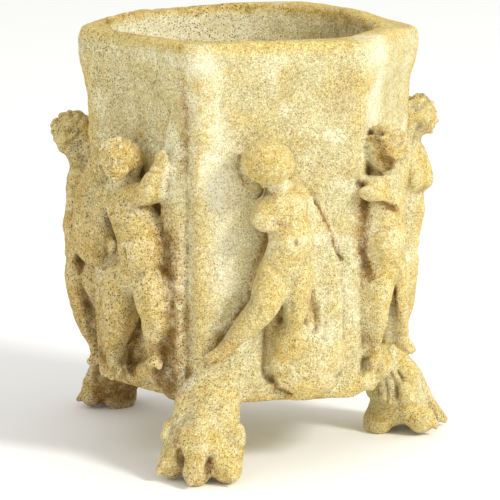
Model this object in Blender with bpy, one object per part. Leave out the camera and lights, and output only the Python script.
"""Garden planter of cast stone: a six-sided vessel on three lion paw feet, with a chubby child in high relief
against each face. It is one casting. Metres, +Z up, the front paw towards -Y, the ground at Z = 0."""

import math

import bmesh
import bpy
from mathutils import Matrix, Vector

# The vessel. A corner radius is from the vessel's axis to where two faces would meet.
HEIGHT = 0.480
BODY_BOTTOM = 0.079
BASE_CORNER_RADIUS = 0.177
NECK_HEIGHT = 0.394
NECK_CORNER_RADIUS = 0.1865
LIP_HEIGHT = 0.462
LIP_CORNER_RADIUS = 0.1985
RIM_ROUNDING = 0.010
BASE_ROUNDING = 0.004
FACES = 6
FIRST_FACE = 0.0
CORNER_DROOPS = {30.0: 0.009, 150.0: 0.005, 270.0: 0.001}
CORNER_SHARPNESS = 60.0
RIM_SHARPNESS = 34.0
RING_POINTS = 96

# The hollow, whose mouth leans a little to one side.
MOUTH_RADIUS = 0.1525
THROAT_RADIUS = 0.1385
THROAT_DEPTH = 0.090
FLOOR_RADIUS = 0.124
FLOOR_THICKNESS = 0.025
MOUTH_LEAN = (-0.0100, -0.0033)
MOUTH_EASING = 0.004
HOLLOW_POINTS = 72

# The paws, each close to a corner of the base: where it points, how far its toes and its heel are from the vessel's
# axis, and its width. The left one is the smallest, and stands the furthest out.
PAWS = {
    272.5: {"toes": 0.237, "heel": 0.166, "width": 0.097},
    31.0: {"toes": 0.233, "heel": 0.150, "width": 0.099},
    155.5: {"toes": 0.266, "heel": 0.208, "width": 0.084},
}
ANKLE_SHARE = 0.81
TOES_ACROSS = 2.8
SIDE_TOE_BACK = 0.019
KNUCKLE_SHARE = 2.5
SIDE_TOE_SHARE = 0.62
PAW_SINK = 0.006

# The figures, whose joints are shares of their height.
FIGURE_HEIGHT = 0.300
SHARE = FIGURE_HEIGHT / 100
BACKING = 0.55

# Half widths of a figure's parts, in shares: one number, or along the wall, out from it and upwards.
SKULL = (7.0, 7.2, 7.6)
CAP = (7.5, 7.3, 6.7)
JAW = (5.0, 5.0, 5.2)
CHIN = 2.2
FOLD_DEPTH = 2.4
BODY = {
    "neck": 3.8,
    "breast": 5.2,
    "chest": (7.9, 6.2, 6.6),
    "belly": (7.8, 7.2, 7.0),
    "pelvis": (8.2, 6.6, 5.6),
    "shoulder": 4.4,
    "elbow": 3.5,
    "wrist": 2.7,
    "hand": 3.2,
    "hip": 6.7,
    "knee": 5.0,
    "calf": 4.7,
    "ankle": 3.2,
    "toe": 2.7,
}

# The skin of the casting.
VOXEL = 0.0029
SOFTENING = 4
KEPT_FACES = 0.028
AXIS = Vector((0.0186, 0.0211, 0.0))

# Each pose gives joints as (along the wall to the viewer's right, out from the wall, up from the base), in
# hundredths of the figure's height. A fold is a chain of such places, each with its half width. A mound is the rough
# ground at the feet, as places with their half widths.
POSES = {
    "reachingChild": {
        "face": 240,
        "head": (0.6, 10.6, 89.3),
        "chin": (4.6, 12.6, 84.3),
        "neck": (-3.2, 8, 80.8),
        "chest": (1.2, 8, 70.5),
        "belly": (9, 8.9, 57),
        "pelvis": (6.8, 8, 47.5),
        "arms": (
            ((3.7, 8.2, 75.5), (13.9, 8.6, 77.8), (19.2, 5.8, 90.5)),
            ((-12, 6, 74), (-18.5, 5, 62), (-5, 9.8, 54.5)),
        ),
        "legs": (
            ((-2, 8.5, 43), (-3, 10.4, 29.5), (-11.2, 6, 14.5), (-8, 7.2, 8)),
            ((12, 7, 43.8), (14.4, 7.4, 31), (11.8, 5.4, 19.5), (14.5, 7.6, 15.5)),
        ),
        "folds": (
            ((18.5, 0.4, 105, 3.4), (19.4, 0.9, 93, 4.9), (18.6, 1, 60, 5.1), (17.5, 1, 30, 5.2), (16.5, 1, 5, 5.6)),
        ),
        "mound": (((-5, 0, 5.5), (5, 4, 4)), ((10, 1, 10), (6, 5, 7)), ((16, 0, 5), (5, 4, 5))),
        "bulk": (((-26, 0.5, 80), (5, 3.5, 5)), ((-27, 1.5, 56), (8, 5, 9)), ((-23, 1, 66), (7, 4, 9))),
    },
    "playingChild": {
        "face": 300,
        "head": (-6.9, 11.3, 91.7),
        "chin": (-9.5, 12.8, 85.4),
        "cap": (9.2, 8.4, 7.4),
        "neck": (-1.6, 8.2, 81.8),
        "chest": (0.4, 8, 74.4),
        "belly": (2.6, 8.2, 62.2),
        "pelvis": (0.8, 7.6, 53.2),
        "arms": (
            ((-7.9, 9, 77.1), (-10, 10.4, 72.7), (1, 12.4, 70.2)),
            ((4.9, 7.8, 78.4), (9.4, 7, 75.6), (1, 11.2, 74.5)),
        ),
        "legs": (
            ((-4, 8.4, 50.6), (-8.3, 11, 37.2), (-20.3, 6, 23.2), (-26.8, 4.2, 17.4)),
            ((5, 7, 49.5), (5, 7, 36.3), (4, 6.2, 27.5), (2.4, 8, 23.5)),
        ),
        "folds": (
            ((13.6, 0.6, 71, 2.6), (16, 0.8, 58, 4.6), (16.6, 1, 42, 5.8), (15.6, 1.2, 28, 7.4), (14, 0.5, 14, 9.4)),
        ),
        "mound": (((1, 0.8, 15), (5.4, 5, 6)), ((9, 1, 20), (6.5, 5, 6)), ((18, 0, 17), (7, 4, 9)), ((9, 0, 7), (13, 4.6, 5))),
    },
    "bowedChild": {
        "face": 0,
        "head": (-24.5, 6.9, 92.3),
        "chin": (-28, 8.6, 87.3),
        "neck": (-19.5, 7.2, 82.5),
        "chest": (-20, 7, 72.5),
        "belly": (-22.8, 7.6, 59),
        "pelvis": (-20.3, 7.4, 49),
        "arms": (
            ((-28.5, 5, 79.4), (-33, 3.6, 77.8), (-22.5, 10, 74)),
            ((-12.5, 8.6, 79.5), (-13, 9.8, 89), (-22, 6.8, 98.5)),
        ),
        "legs": (
            ((-25.8, 6, 46.6), (-27, 5.8, 35), (-24, 5, 21.5), (-25.5, 6.2, 14.5)),
            ((-13, 8.6, 45.5), (-13.4, 10, 34), (-8, 10.6, 20), (-7, 13.2, 15)),
        ),
        "folds": (((-16, 1, 22, 4), (-14, 1, 10, 6)),),
        "mound": (((-22, 0, 6), (6, 5, 5)), ((-17, 1, 14), (6, 5, 7)), ((-9, 1.5, 9), (6, 6, 7))),
    },
    "leaningChild": {
        "face": 60,
        "head": (-23, 12.6, 93.5),
        "chin": (-21.5, 15.8, 88),
        "neck": (-21.5, 9.8, 84),
        "chest": (-20.5, 8.6, 73),
        "belly": (-20.5, 9.4, 56),
        "pelvis": (-20.5, 9, 45.5),
        "arms": (
            ((-24, 9.6, 79.5), (-28.5, 11.4, 70), (-19, 13.5, 65)),
            ((-14, 8.5, 79), (-8, 7.5, 72), (-5, 6, 85)),
        ),
        "legs": (
            ((-23.5, 8.6, 39), (-24, 8.4, 23), (-23, 5, 10), (-24, 7.5, 5)),
            ((-17, 9, 39), (-13, 9.5, 25), (-12.5, 5.5, 12), (-11.5, 8, 7)),
        ),
        "folds": (((-5, 1.2, 86, 2.6), (-4, 1.5, 60, 3.2), (-5, 1.5, 30, 3.6), (-6, 1, 8, 4.6)),),
        "mound": (((-22, 0, 5), (6, 5, 5)), ((-10, 0.5, 7), (7, 5, 6))),
    },
    "quietChild": {
        "face": 120,
        "head": (0, 11.5, 91),
        "chin": (2, 14, 85),
        "neck": (0, 8, 81.5),
        "chest": (0, 8, 73),
        "belly": (0.5, 8.5, 59),
        "pelvis": (0, 8, 49.5),
        "arms": (
            ((-8.5, 7.5, 77), (-13, 7, 65), (-5, 12, 61)),
            ((8.5, 7.5, 77), (13.5, 6.5, 66), (15, 4.5, 53)),
        ),
        "legs": (
            ((-4.5, 7.5, 45), (-5, 9.5, 29), (-5, 6, 13), (-6, 9, 8)),
            ((4.5, 7.5, 45), (7.5, 9.5, 30), (5, 5, 15), (6.5, 8, 10)),
        ),
        "folds": (((15, 1.5, 55, 3), (16, 1.5, 30, 3.6), (15, 1, 7, 4.6)),),
        "mound": (((-7, 0, 5), (6, 5, 5)), ((8, 0.5, 8), (7, 5, 7))),
    },
    "turningChild": {
        "face": 180,
        "head": (12, 14.2, 88),
        "chin": (9, 17.5, 83),
        "neck": (13.5, 10.5, 79),
        "chest": (14, 9, 69.5),
        "belly": (14, 9.8, 55),
        "pelvis": (14, 10, 44.5),
        "arms": (
            ((20, 8, 74), (23, 9.5, 65), (16, 13.5, 60)),
            ((7.5, 8.5, 74.5), (1, 8.5, 76), (-2, 6, 90)),
        ),
        "legs": (
            ((17, 9, 38), (15, 9.5, 22), (12.5, 6, 8), (10.5, 9, 0.5)),
            ((10.5, 8.5, 38), (6, 9.5, 24), (5, 5.5, 10), (4, 8.5, 5)),
        ),
        "folds": (((-3, 1.2, 93, 2.6), (-3, 1.5, 60, 3.2), (-3, 1.5, 30, 3.6), (-2, 1, 8, 4.6)),),
        "mound": (((4, 0, 6), (7, 5, 6)), ((13, 0.5, 4), (6, 5, 4))),
    },
}


def direction(degrees):
    angle = math.radians(degrees)
    return Vector((math.cos(angle), math.sin(angle), 0.0))


def apothem(corner_radius):
    return corner_radius * math.cos(math.pi / FACES)


def corner_radius_at(z):
    """The plain wall's corner radius, which grows evenly from the base to the neck."""
    share = (z - BODY_BOTTOM) / (NECK_HEIGHT - BODY_BOTTOM)
    return BASE_CORNER_RADIUS + (NECK_CORNER_RADIUS - BASE_CORNER_RADIUS) * min(max(share, 0.0), 1.0)


def hexagon_point(corner_radius, degrees, z, sharpness):
    """A point of a hexagon with eased corners: one over the power mean of its faces' cosines."""
    total = 0.0
    for k in range(FACES):
        cosine = math.cos(math.radians(degrees - FIRST_FACE - 360.0 / FACES * k))
        total += max(cosine, 0.0) ** sharpness
    return direction(degrees) * (apothem(corner_radius) / total ** (1.0 / sharpness)) + Vector((0, 0, z))


def droop_at(degrees, z):
    """How far the rim hangs at its worn corners. It fades down to the neck and away from each corner."""
    height = max(z - NECK_HEIGHT, 0.0) / (HEIGHT - NECK_HEIGHT)
    drop = 0.0
    for corner, most in CORNER_DROOPS.items():
        drop += most * max(math.cos(math.radians(degrees - corner)), 0.0) ** 16
    return drop * height**2


def hull_of(skin, balls):
    """Adds the convex hull of a few balls to the skin. A ball is its centre and its half widths along its axes."""
    shape = bmesh.new()
    for centre, radii, axes in balls:
        matrix = Matrix.Translation(centre) @ axes.to_4x4() @ Matrix.Diagonal((*radii, 1.0))
        bmesh.ops.create_icosphere(shape, subdivisions=2, radius=1.0, matrix=matrix)
    found = bmesh.ops.convex_hull(shape, input=shape.verts)
    spare = {item for item in found["geom_interior"] + found["geom_unused"] if isinstance(item, bmesh.types.BMVert)}
    bmesh.ops.delete(shape, geom=list(spare), context="VERTS")
    bmesh.ops.recalc_face_normals(shape, faces=shape.faces)
    piece = bpy.data.meshes.new("hull")
    shape.to_mesh(piece)
    shape.free()
    skin.from_mesh(piece)
    bpy.data.meshes.remove(piece)


def add_vessel(skin):
    """The outside of the vessel, solid for now: rings from the base up to the rim, bridged and capped."""
    steps = 5
    rings = [(BODY_BOTTOM, BASE_CORNER_RADIUS - BASE_ROUNDING, CORNER_SHARPNESS)]
    rings.append((BODY_BOTTOM + BASE_ROUNDING, BASE_CORNER_RADIUS, CORNER_SHARPNESS))
    rings.append((NECK_HEIGHT, NECK_CORNER_RADIUS, CORNER_SHARPNESS))
    for k in range(1, steps + 1):
        share = k / steps
        swell = (1 - math.cos(math.pi * share)) / 2
        z = NECK_HEIGHT + (LIP_HEIGHT - NECK_HEIGHT) * share
        radius = NECK_CORNER_RADIUS + (LIP_CORNER_RADIUS - NECK_CORNER_RADIUS) * swell
        rings.append((z, radius, CORNER_SHARPNESS + (RIM_SHARPNESS - CORNER_SHARPNESS) * share))
    for k in range(1, steps + 1):
        angle = math.pi / 2 * k / steps
        z = LIP_HEIGHT + (HEIGHT - LIP_HEIGHT) * math.sin(angle)
        rings.append((z, LIP_CORNER_RADIUS - RIM_ROUNDING * (1 - math.cos(angle)), RIM_SHARPNESS))
    shape = bmesh.new()
    loops = []
    for z, radius, sharpness in rings:
        points = []
        for k in range(RING_POINTS):
            degrees = 360.0 * k / RING_POINTS
            point = hexagon_point(radius, degrees, z, sharpness)
            points.append(shape.verts.new(point - Vector((0, 0, droop_at(degrees, z)))))
        loops.append(points)
    for low, high in zip(loops, loops[1:]):
        for k in range(RING_POINTS):
            after = (k + 1) % RING_POINTS
            shape.faces.new((low[k], low[after], high[after], high[k]))
    shape.faces.new(loops[0][::-1])
    shape.faces.new(loops[-1])
    piece = bpy.data.meshes.new("vessel")
    shape.to_mesh(piece)
    shape.free()
    skin.from_mesh(piece)
    bpy.data.meshes.remove(piece)


class Wall:
    """One face of the vessel, which turns a pose's shares into places in space."""

    def __init__(self, degrees):
        self.out = direction(degrees)
        self.along = direction(degrees + 90.0)
        self.axes = Matrix((self.along, self.out, Vector((0, 0, 1)))).transposed()

    def place(self, along, out, up):
        z = BODY_BOTTOM + up * SHARE
        depth = apothem(corner_radius_at(z)) + out * SHARE
        return self.out * depth + self.along * (along * SHARE) + Vector((0, 0, z))

    def ball(self, at, half_widths):
        if isinstance(half_widths, (int, float)):
            half_widths = (half_widths,) * 3
        return self.place(*at), tuple(width * SHARE for width in half_widths), self.axes


def between(start, end, share):
    return tuple(a + (b - a) * share for a, b in zip(start, end))


def add_limb(skin, wall, *joints):
    """Tapered lengths of flesh from joint to joint, filled towards the wall so that no mould would catch behind them.
    Each joint is its place and its half width."""
    for start, end in zip(joints, joints[1:]):
        balls = [wall.ball(*start), wall.ball(*end)]
        for (along, out, up), width in (start, end):
            balls.append(wall.ball((along, out * BACKING, up), width))
        hull_of(skin, balls)


def add_figure(skin, pose):
    """A chubby child: head with its cap of hair, trunk, two arms and two legs, and the cloth and ground beside it."""
    wall = Wall(pose["face"])
    head = pose["head"]
    chin = pose["chin"]
    back = between(chin, head, 1.35)
    cap = pose.get("cap", CAP)
    jaw = between(head, chin, 0.55)
    hull_of(skin, (wall.ball(head, SKULL), wall.ball(jaw, JAW)))
    hull_of(skin, (wall.ball(back, cap), wall.ball(between(back, head, 0.4), cap)))
    hull_of(skin, (wall.ball(chin, CHIN), wall.ball(jaw, BODY["neck"])))
    throat = between(head, chin, 0.3)
    add_limb(skin, wall, (throat, BODY["neck"]), (pose["neck"], BODY["neck"]), (pose["chest"], BODY["breast"]))
    add_limb(
        skin,
        wall,
        (pose["chest"], BODY["chest"]),
        (pose["belly"], BODY["belly"]),
        (pose["pelvis"], BODY["pelvis"]),
    )
    for shoulder, elbow, hand in pose["arms"]:
        arm = ((pose["chest"], BODY["breast"]), (shoulder, BODY["shoulder"]), (elbow, BODY["elbow"]))
        add_limb(skin, wall, *arm, (between(elbow, hand, 0.8), BODY["wrist"]))
        hull_of(skin, (wall.ball(between(elbow, hand, 0.85), BODY["wrist"]), wall.ball(hand, BODY["hand"])))
    for hip, knee, ankle, toe in pose["legs"]:
        thigh = ((pose["pelvis"], BODY["breast"]), (hip, BODY["hip"]), (knee, BODY["knee"]))
        shin = ((between(knee, ankle, 0.4), BODY["calf"]), (ankle, BODY["ankle"]), (toe, BODY["toe"]))
        add_limb(skin, wall, *thigh, *shin)
    for fold in pose["folds"]:
        chain = [((along, out, up), (width, FOLD_DEPTH, width)) for along, out, up, width in fold]
        add_limb(skin, wall, *chain)
    for heap in ("mound", "bulk"):
        if heap in pose:
            hull_of(skin, [wall.ball(centre, half_widths) for centre, half_widths in pose[heap]])


def add_paw(skin, degrees, sizes):
    """A lion's paw under a corner: an ankle, three front toes with claws, and a side toe on each side."""
    out = direction(degrees)
    side = direction(degrees + 90.0)
    axes = Matrix((side, out, Vector((0, 0, 1)))).transposed()
    full_reach = sizes["toes"]
    heel = sizes["heel"]
    half = sizes["width"] / 2
    toe = half / TOES_ACROSS
    spread = half - toe
    ankle = half * ANKLE_SHARE
    middle = (full_reach + 2 * heel) / 3 - 0.010
    top = BODY_BOTTOM + ankle / 3

    def ball(reach, across, z, *half_widths):
        widths = half_widths if len(half_widths) == 3 else half_widths * 3
        return out * reach + side * across + Vector((0, 0, z)), widths, axes

    hull_of(
        skin,
        (
            ball(BASE_CORNER_RADIUS * 0.90, 0, top, ankle * 0.86, ankle * 0.62, ankle * 0.5),
            ball(middle, 0, ankle * 0.9, ankle * 0.92, ankle * 0.66, ankle * 0.6),
        ),
    )
    hull_of(
        skin,
        (
            ball(middle, 0, ankle * 0.9, ankle * 0.92, ankle * 0.66, ankle * 0.6),
            ball(heel, 0, toe * 0.9 - PAW_SINK, ankle * 0.72, ankle * 0.5, toe * 0.9),
        ),
    )
    for lane in (-1, 0, 1):
        reach = full_reach - toe - SIDE_TOE_BACK * abs(lane)
        knuckle = ball(reach - toe, lane * spread * 0.86, toe * KNUCKLE_SHARE, toe)
        wrist = ball(BASE_CORNER_RADIUS * 0.97, lane * spread * 0.72, top * 0.9, toe * 0.95, toe * 0.9, toe)
        tip = ball(reach, lane * spread, toe * 0.95 - PAW_SINK, toe * 0.95, toe, toe * 0.95)
        hull_of(skin, (wrist, knuckle))
        hull_of(skin, (knuckle, tip))
    for lane in (-1, 1):
        high = ball(heel + toe * 0.9, lane * (half - toe * 0.5), toe * 3.0, toe * SIDE_TOE_SHARE)
        low = ball(heel + toe * 0.6, lane * (half - toe * 0.9), toe * 2.2, toe * SIDE_TOE_SHARE)
        hull_of(skin, (high, low))


def keep_largest(mesh):
    """Drops any crumb or closed bubble that the skin left, and keeps the casting itself."""
    shape = bmesh.new()
    shape.from_mesh(mesh)
    left = set(shape.verts)
    islands = []
    while left:
        stack = [left.pop()]
        island = set(stack)
        while stack:
            for edge in stack.pop().link_edges:
                for vertex in edge.verts:
                    if vertex in left:
                        left.remove(vertex)
                        island.add(vertex)
                        stack.append(vertex)
        islands.append(island)
    largest = max(islands, key=len)
    bmesh.ops.delete(shape, geom=[v for v in shape.verts if v not in largest], context="VERTS")
    shape.to_mesh(mesh)
    shape.free()


def fused_casting():
    """Vessel, figures and paws under one skin: fused on a fine grid, softened as a casting is, and thinned."""
    skin = bmesh.new()
    add_vessel(skin)
    for pose in POSES.values():
        add_figure(skin, pose)
    for degrees, sizes in PAWS.items():
        add_paw(skin, degrees, sizes)
    bmesh.ops.translate(skin, verts=skin.verts, vec=AXIS)
    mesh = bpy.data.meshes.new("planter")
    skin.to_mesh(mesh)
    skin.free()
    casting = bpy.data.objects.new("planter", mesh)
    bpy.context.scene.collection.objects.link(casting)

    fuse = casting.modifiers.new("Fuse", "REMESH")
    fuse.mode = "VOXEL"
    fuse.voxel_size = VOXEL
    soften = casting.modifiers.new("Soften", "SMOOTH")
    soften.factor = 0.5
    soften.iterations = SOFTENING
    thin = casting.modifiers.new("Thin", "DECIMATE")
    thin.ratio = KEPT_FACES
    graph = bpy.context.evaluated_depsgraph_get()
    fused = bpy.data.meshes.new_from_object(casting.evaluated_get(graph))
    keep_largest(fused)
    casting.modifiers.clear()
    casting.data = fused
    fused.name = "planter"
    bpy.data.meshes.remove(mesh)
    return casting


def helper(name, mesh):
    cutter = bpy.data.objects.new(name, mesh)
    bpy.context.scene.collection.objects.link(cutter)
    cutter.hide_render = True
    cutter.display_type = "WIRE"
    return cutter


def hollow_cutter():
    """The inside of the vessel: circles from the floor up to the mouth, whose middle leans to one side."""
    lean = Vector((*MOUTH_LEAN, 0.0))
    floor_z = BODY_BOTTOM + FLOOR_THICKNESS
    throat_z = HEIGHT - THROAT_DEPTH
    corner = 0.012
    rings = [
        (floor_z, FLOOR_RADIUS - corner, 0.0),
        (floor_z + corner * 0.3, FLOOR_RADIUS - corner * 0.3, 0.0),
        (floor_z + corner, FLOOR_RADIUS, 0.0),
        (throat_z, THROAT_RADIUS, 0.35),
        (HEIGHT - THROAT_DEPTH / 3, MOUTH_RADIUS - MOUTH_EASING, 1.0),
        (HEIGHT - MOUTH_EASING, MOUTH_RADIUS - MOUTH_EASING / 3, 1.0),
        (HEIGHT, MOUTH_RADIUS + MOUTH_EASING / 2, 1.0),
        (HEIGHT + 2 * MOUTH_EASING, MOUTH_RADIUS + 2 * MOUTH_EASING, 1.0),
    ]
    shape = bmesh.new()
    loops = []
    for z, radius, leaning in rings:
        centre = AXIS + lean * leaning + Vector((0, 0, z))
        loops.append(
            [
                shape.verts.new(centre + direction(360.0 * k / HOLLOW_POINTS) * radius)
                for k in range(HOLLOW_POINTS)
            ]
        )
    for low, high in zip(loops, loops[1:]):
        for k in range(HOLLOW_POINTS):
            after = (k + 1) % HOLLOW_POINTS
            shape.faces.new((low[k], low[after], high[after], high[k]))
    shape.faces.new(loops[0][::-1])
    shape.faces.new(loops[-1])
    mesh = bpy.data.meshes.new("hollow")
    shape.to_mesh(mesh)
    shape.free()
    return helper("hollow", mesh)


def ground_cutter():
    """A slab whose top is the ground, which leaves each paw a flat sole."""
    depth = 4 * PAW_SINK
    shape = bmesh.new()
    width = 3 * max(sizes["toes"] for sizes in PAWS.values())
    size = Matrix.Diagonal((width, width, depth, 1.0))
    bmesh.ops.create_cube(shape, size=1.0, matrix=Matrix.Translation((0, 0, -depth / 2)) @ size)
    mesh = bpy.data.meshes.new("ground")
    shape.to_mesh(mesh)
    shape.free()
    return helper("ground", mesh)


def cast_stone():
    material = bpy.data.materials.new("castStone")
    material.use_nodes = True
    shader = material.node_tree.nodes["Principled BSDF"]
    shader.inputs["Base Color"].default_value = (0.72, 0.63, 0.41, 1.0)
    shader.inputs["Roughness"].default_value = 0.9
    shader.inputs["Metallic"].default_value = 0.0
    return material


def main():
    for item in list(bpy.data.objects):
        bpy.data.objects.remove(item)
    casting = fused_casting()
    for name, cutter in (("Hollow", hollow_cutter()), ("Soles", ground_cutter())):
        cut = casting.modifiers.new(name, "BOOLEAN")
        cut.operation = "DIFFERENCE"
        cut.solver = "EXACT"
        cut.object = cutter
    casting.data.shade_smooth()
    casting.data.set_sharp_from_angle(angle=math.radians(50))
    casting.data.materials.clear()
    casting.data.materials.append(cast_stone())


main()
